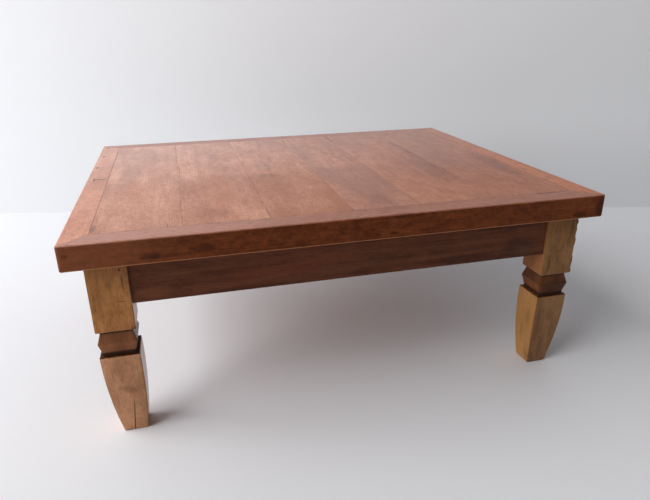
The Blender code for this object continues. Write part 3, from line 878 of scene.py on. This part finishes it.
for number, rusty_share in rusty_shares.items():
    node = f"top_plank_{number}"
    piece = add_plank(number)
    low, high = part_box(node)
    middle = (low + high) / 2
    material, spot = new_finish(piece.name)
    heart = (-middle.x - 0.04, middle.z - 0.12)
    wood = Wood(spot, along_y, shift=2.3 * number, heart=heart, year=0.014)
    tone = wood.growth * 0.1 + wood.streak * 0.12 + wood.fibre * 0.16
    tone = tone + wood.mottle * 0.34 + wood.grit * 0.28
    across = spot.part(0).rise(-0.47, 0.42)
    pale, deep = [across.mix(colour(*left), colour(*right)) for left, right in zip(left_tones, right_tones)]
    base = tone.mix(pale, deep)
    base = (wood.blotch * 0.4).mix(base, colour(150, 96, 78))
    front = (spot.part(1) + wood.ragged * 0.06).rise(0.0, -0.07)
    base = (front * (0.5 + wood.blotch * 0.5) * rusty_share).mix(base, colour(156, 88, 52))
    base = mark_top(base, wood, rusty_marks, colour(184, 106, 62), low, high)
    base = mark_top(base, wood, dusky_marks, colour(138, 94, 80), low, high)
    if number == dusky_plank:
        base = (front * (0.5 + wood.blotch * 0.5) * 0.32).mix(base, colour(138, 94, 84))
    base = mark_top(base, wood, brown_marks, colour(104, 50, 18), low, high)
    base = (wood.speck * (0.2 + front * 0.3)).mix(base, colour(98, 56, 38))
    base = (wood.pores * 0.25).mix(base, colour(96, 56, 42))
    base = mark_top(base, wood, dark_marks, colour(66, 38, 30), low, high)
    left = low.x + (tongue_length if number == 1 else 0)
    right = high.x - tongue_length
    far_half = spot.part(1).rise(-0.08, 0.06)
    for place, (near, far) in ((left, seam_dirt[number - 1]), (right, seam_dirt[number])):
        joint = dirty_joint(wood, abs(spot.part(0) - place), plank_joint_half_width)
        base = (joint * (near + far_half * (far - near))).mix(base, colour(58, 34, 26))
    from_end = abs(abs(spot.part(1)) - (high.y - tongue_length))
    joint = dirty_joint(wood, from_end, plank_end_joint_half_width)
    base = (joint * 0.7).mix(base, colour(66, 38, 30))
    roughness = 0.36 + tone * 0.12
    grain = wood.fibre * 0.4 - wood.pores * 0.6 + wood.mottle * 0.5
    seal([piece], material, base, roughness, grain, plank_grain_depth, plank_gloss, rubbed_wax(spot))
    set_in_place(piece, node)


# Border: four boards of the same old wood, mitred at the corners and grooved inside for the planks'
# tongues. Their outer corners are rounded over, hidden splines hold the mitres, and old nail holes show in
# the left one.

border_width = 0.045
border_corner_radius = 0.005
border_arris = 0.0025
border_face_wear = 0.0004
border_corner_wear = 0.0010
border_grain_depth = 0.0002
border_gloss = 0.08
border_steps = {"along": 0.012, "through": 0.009, "up": 0.009}
border_nail_radius = 0.0013
border_nail_depth = 0.004
mitre_joint_half_width = 0.0012
border_joint_half_width = 0.0016
mitre_ease = 0.0002
mitre_fade = 0.012
upright_rise = 0.01
groove_depth = 0.012
border_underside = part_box("border_front")[0].z
groove_middle = (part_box("top_plank_1")[0].z + table_high.z) / 2
field_high = Vector((table_high.x - border_width, table_high.y - border_width, 0))


def add_outer_form():
    """The whole top as one slab, rounded at its corners and eased along its rims."""
    slab = add_block("slab", (table_low.x, table_low.y, border_underside), table_high)
    bpy.ops.object.mode_set(mode="EDIT")
    pick_edges(slab, lambda edge: climb(edge) > upright_rise)
    bpy.ops.mesh.bevel(offset=border_corner_radius, segments=4, affect="EDGES")
    pick_edges(slab, lambda edge: is_arris(edge) and climb(edge) < upright_rise)
    bpy.ops.mesh.bevel(offset=border_arris, segments=3, affect="EDGES")
    bpy.ops.object.mode_set(mode="OBJECT")
    return slab


def clear_of_joints(place):
    """1 away from the mitres and the inner edges of the border, which stay tight, and 0 at them."""
    from_end = table_high.x - abs(place.x)
    from_side = table_high.y - abs(place.y)
    clear_of_field = min(from_end, from_side) < border_width - joint_margin
    return clear_of_field * ramp(abs(from_end - from_side), joint_margin, mitre_fade)


def add_border_board(side):
    """A board as long as its side of the table, mitred, rounded with the top, worn and then grooved."""
    axis = runs[side]
    reach = 1 - axis
    way = ways[side]
    low = Vector((table_low.x, table_low.y, border_underside))
    high = Vector(table_high)
    half_run = high[axis] - mitre_ease
    low[axis] = -half_run
    high[axis] = half_run
    inner = way * field_high[reach]
    if way > 0:
        low[reach] = inner
    else:
        high[reach] = inner
    board = add_block(f"border_board_{side}", low, high)
    bpy.ops.object.mode_set(mode="EDIT")
    pick_faces(board, lambda middle, normal: normal[reach] * way < -square_on)
    mitre = Vector((1, 1, 1))
    mitre[axis] = (half_run - border_width) / half_run
    bpy.ops.transform.resize(value=mitre, center_override=(0, 0, 0))
    bpy.ops.object.mode_set(mode="OBJECT")
    shape_with(board, add_outer_form(), "INTERSECT")
    bpy.ops.object.mode_set(mode="EDIT")
    slice_along(board, axis, border_steps["along"])
    slice_along(board, reach, border_steps["through"])
    slice_along(board, 2, border_steps["up"])
    bpy.ops.object.mode_set(mode="OBJECT")
    split_faces(board, 1)
    wear(board, border_face_wear, border_corner_wear, clear_of_joints)
    half_groove = Vector((groove_depth, groove_depth, tongue_thickness / 2 + fit_ease)) + field_high
    groove_centre = Vector((0, 0, groove_middle))
    shape_with(board, add_block("groove", groove_centre - half_groove, groove_centre + half_groove))
    return board


border_tones = {
    "front": ((178, 117, 94), (122, 72, 52)),
    "back": ((190, 121, 95), (139, 80, 58)),
    "left": ((238, 169, 138), (189, 120, 93)),
    "right": ((204, 120, 72), (144, 74, 42)),
}
border_nails = [(-0.4861, 0.3694), (-0.4858, 0.2512), (-0.4900, 0.1284), (-0.4837, 0.0113)]
border_dark_marks = [
    (0.466, -0.170, 0.006, 0.012, 0.5),
    (0.461, -0.260, 0.005, 0.010, 0.5),
    (0.476, -0.250, 0.005, 0.014, 0.5),
    (0.400, -0.3560, 0.055, 0.0045, 0.8),
    (-0.4707, 0.0118, 0.0160, 0.0042, 0.95),
    (-0.4837, 0.0113, 0.0027, 0.0125, 0.9),
]
border_dark_marks += [(x, y, 0.0045, 0.010, 0.8) for x, y in border_nails[:3]]
border_seam_dirt = {"front": 0.75, "back": 0.3, "left": 0.15, "right": 0.3}
border_rusty_marks = [
    (0.472, -0.200, 0.024, 0.190, 0.6),
]
edge_marks = [
    ((-0.359, -0.40, 0.3640), (0.020, 0.02, 0.008), 0.5),
    ((-0.279, -0.40, 0.3685), (0.026, 0.02, 0.009), 0.5),
    ((-0.320, -0.40, 0.3610), (0.060, 0.02, 0.004), 0.25),
    ((-0.487, -0.40, 0.3770), (0.006, 0.02, 0.004), 0.4),
    ((0.0593, -0.40, 0.3605), (0.012, 0.02, 0.003), 0.75),
    ((0.448, -0.40, 0.3600), (0.016, 0.02, 0.008), 0.55),
    ((0.492, -0.40, 0.3720), (0.014, 0.02, 0.030), 0.6),
]

for number, (side, (pale, deep)) in enumerate(border_tones.items()):
    node = f"border_{side}"
    piece = add_border_board(side)
    axis = runs[side]
    low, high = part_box(node)
    middle = (low + high) / 2
    if side == "left":
        for x, y in border_nails:
            bore(piece, (x, y, table_high.z), (0, 0, 0), border_nail_radius, border_nail_depth)
    material, spot = new_finish(piece.name)
    heart = ((middle.y, -middle.x)[axis] + 0.03, middle.z - 0.07)
    wood = Wood(spot, (along_x, along_y)[axis], shift=1.3 * number, heart=heart, year=0.012)
    tone = wood.growth * 0.1 + wood.streak * 0.1 + wood.fibre * 0.12
    tone = tone + wood.mottle * 0.36 + wood.grit * 0.32
    base = tone.mix(colour(*pale), colour(*deep))
    base = (wood.blotch * 0.3).mix(base, colour(150, 92, 70))
    if side == "front":
        base = (spot.part(0).rise(0.05, -0.42) * 0.6).mix(base, colour(202, 148, 132))
    base = mark_top(base, wood, border_rusty_marks, colour(190, 116, 74), low, high)
    base = (wood.speck * 0.45).mix(base, colour(100, 58, 40))
    base = (wood.pores * 0.35).mix(base, colour(92, 54, 40))
    base = mark_top(base, wood, border_dark_marks, colour(62, 36, 28), low, high)
    level = spot.part(2) + wood.ragged * 0.001
    edge = level.rise(table_high.z - 0.0006, table_high.z - 0.0028)
    edge_tone = wood.streak * 0.1 + wood.fibre * 0.2 + wood.mottle * 0.3 + wood.grit * 0.4
    edge_base = edge_tone.mix(colour(126, 67, 38), colour(46, 23, 13))
    if side == "front":
        left_end = spot.part(0).rise(-0.24, -0.48)
        edge_base = (left_end * 0.35).mix(edge_base, colour(146, 92, 66))
        edge_base = (spot.part(0).rise(0.1, 0.3) * 0.06).mix(edge_base, colour(144, 84, 56))
        for centre, half_size, share in edge_marks:
            edge_base = (wood.blot(centre, half_size) * share).mix(edge_base, colour(44, 24, 17))
    # A pale line along the bottom arris of the edge: wear on the arris, and painted light from the floor
    # below.
    rim = level.rise(border_underside + 0.0032, border_underside + 0.0012)
    edge_base = (rim * 0.7).mix(edge_base, colour(186, 126, 90))
    base = edge.mix(base, edge_base)
    across = (table_high.x - abs(spot.part(0))) - (table_high.y - abs(spot.part(1)))
    mitre_line = dirty_joint(wood, abs(across), mitre_joint_half_width)
    seam = abs(abs(spot.part(1 - axis)) - field_high[1 - axis])
    base = (mitre_line * 0.65).mix(base, colour(62, 36, 28))
    seam_line = dirty_joint(wood, seam, border_joint_half_width)
    base = (seam_line * border_seam_dirt[side]).mix(base, colour(62, 36, 28))
    roughness = 0.36 + tone * 0.12 + edge * 0.1
    grain = wood.fibre * 0.4 - wood.pores * 0.6 + wood.mottle * 0.5
    wax = rubbed_wax(spot) * (1 - edge)
    seal([piece], material, base, roughness, grain, border_grain_depth, border_gloss, wax)
    set_in_place(piece, node)


# Studio: a pale floor and wall, the camera, and one broad soft lamp on the left, like a tall window.
# The wall is clear from behind. The lamp stays out of reflections, so that waxed faces show the pale room
# from every side.

floor_colour = colour(228, 229, 233)
wall_colour = colour(226, 227, 230)
wall_distance = 2.2
wall_width = 8
wall_height = 6
floor_size = 12
floor_roughness = 0.7
wall_roughness = 0.8
room_light = 0.11
room_seen = 0.8
room_colour = (1.0, 0.975, 0.93, 1.0)
window_place = (-4.7, -0.9, 3.1)
window_aim = (0.1, -0.2, 0.2)
window_side = 5.8
window_power = 500

bpy.ops.object.select_all(action="DESELECT")
bpy.ops.mesh.primitive_plane_add(size=floor_size)
floor = bpy.context.object
floor.name = "floor"
material = new_finish("floor")[0]
shader = material.node_tree.nodes["Principled BSDF"]
shader.inputs["Base Color"].default_value = floor_colour
shader.inputs["Roughness"].default_value = floor_roughness
floor.data.materials.append(material)

camera_place = Vector((-0.299, -1.2831, 0.7101))
camera_yaw = math.radians(14.6183)
camera_pitch = math.radians(21.9594)
camera_roll = math.radians(-0.539)
image_width = 650
focal_pixels = 562.3632
sensor_width = 36.0

lens = bpy.data.cameras.new("camera")
lens.sensor_width = sensor_width
lens.lens = focal_pixels / image_width * sensor_width
camera = bpy.data.objects.new("camera", lens)
bpy.context.collection.objects.link(camera)
turn = Matrix.Rotation(-camera_yaw, 4, "Z") @ Matrix.Rotation(math.pi / 2 - camera_pitch, 4, "X")
camera.matrix_world = Matrix.Translation(camera_place) @ turn @ Matrix.Rotation(camera_roll, 4, "Z")
bpy.context.scene.camera = camera

wall_way = Vector((math.sin(camera_yaw), math.cos(camera_yaw), 0))
wall_foot = Vector((camera_place.x, camera_place.y, 0)) + wall_way * wall_distance
upright = Matrix.Rotation(-camera_yaw, 4, "Z") @ Matrix.Rotation(math.pi / 2, 4, "X")
bpy.ops.object.select_all(action="DESELECT")
bpy.ops.mesh.primitive_plane_add(size=1)
wall = bpy.context.object
wall.name = "wall"
stretch = Matrix.Diagonal((wall_width, wall_height, 1, 1))
wall.matrix_world = Matrix.Translation(wall_foot) @ upright @ stretch
material, spot = new_finish("wall")
tree = material.node_tree
shader = tree.nodes["Principled BSDF"]
shader.inputs["Base Color"].default_value = wall_colour
shader.inputs["Roughness"].default_value = wall_roughness
behind = spot.node("NewGeometry", {}, {}, "Backfacing")
clear = spot.node("BsdfTransparent")
both = spot.node("MixShader", {}, {0: behind, 1: Reading(shader.outputs[0]), 2: clear})
tree.links.new(both.socket, tree.nodes["Material Output"].inputs["Surface"])
wall.data.materials.append(material)

light = bpy.data.lights.new("window", "AREA")
light.shape = "SQUARE"
light.size = window_side
light.energy = window_power
lamp = bpy.data.objects.new("window", light)
bpy.context.collection.objects.link(lamp)
lamp.location = window_place
lamp.rotation_mode = "QUATERNION"
lamp.rotation_quaternion = (Vector(window_aim) - lamp.location).to_track_quat("-Z", "Y")
lamp.visible_glossy = False

world = bpy.data.worlds.new("room")
bpy.context.scene.world = world
world.use_nodes = True
background = world.node_tree.nodes["Background"]
background.inputs["Color"].default_value = room_colour
rays = world.node_tree.nodes.new("ShaderNodeLightPath")
seen = Reading(rays.outputs["Is Camera Ray"]).larger(Reading(rays.outputs["Is Glossy Ray"]))
seen = seen.larger(Reading(rays.outputs["Is Transmission Ray"]))
strength = seen * (room_seen - room_light) + room_light
world.node_tree.links.new(strength.socket, background.inputs["Strength"])

bpy.context.scene.view_settings.view_transform = "Standard"
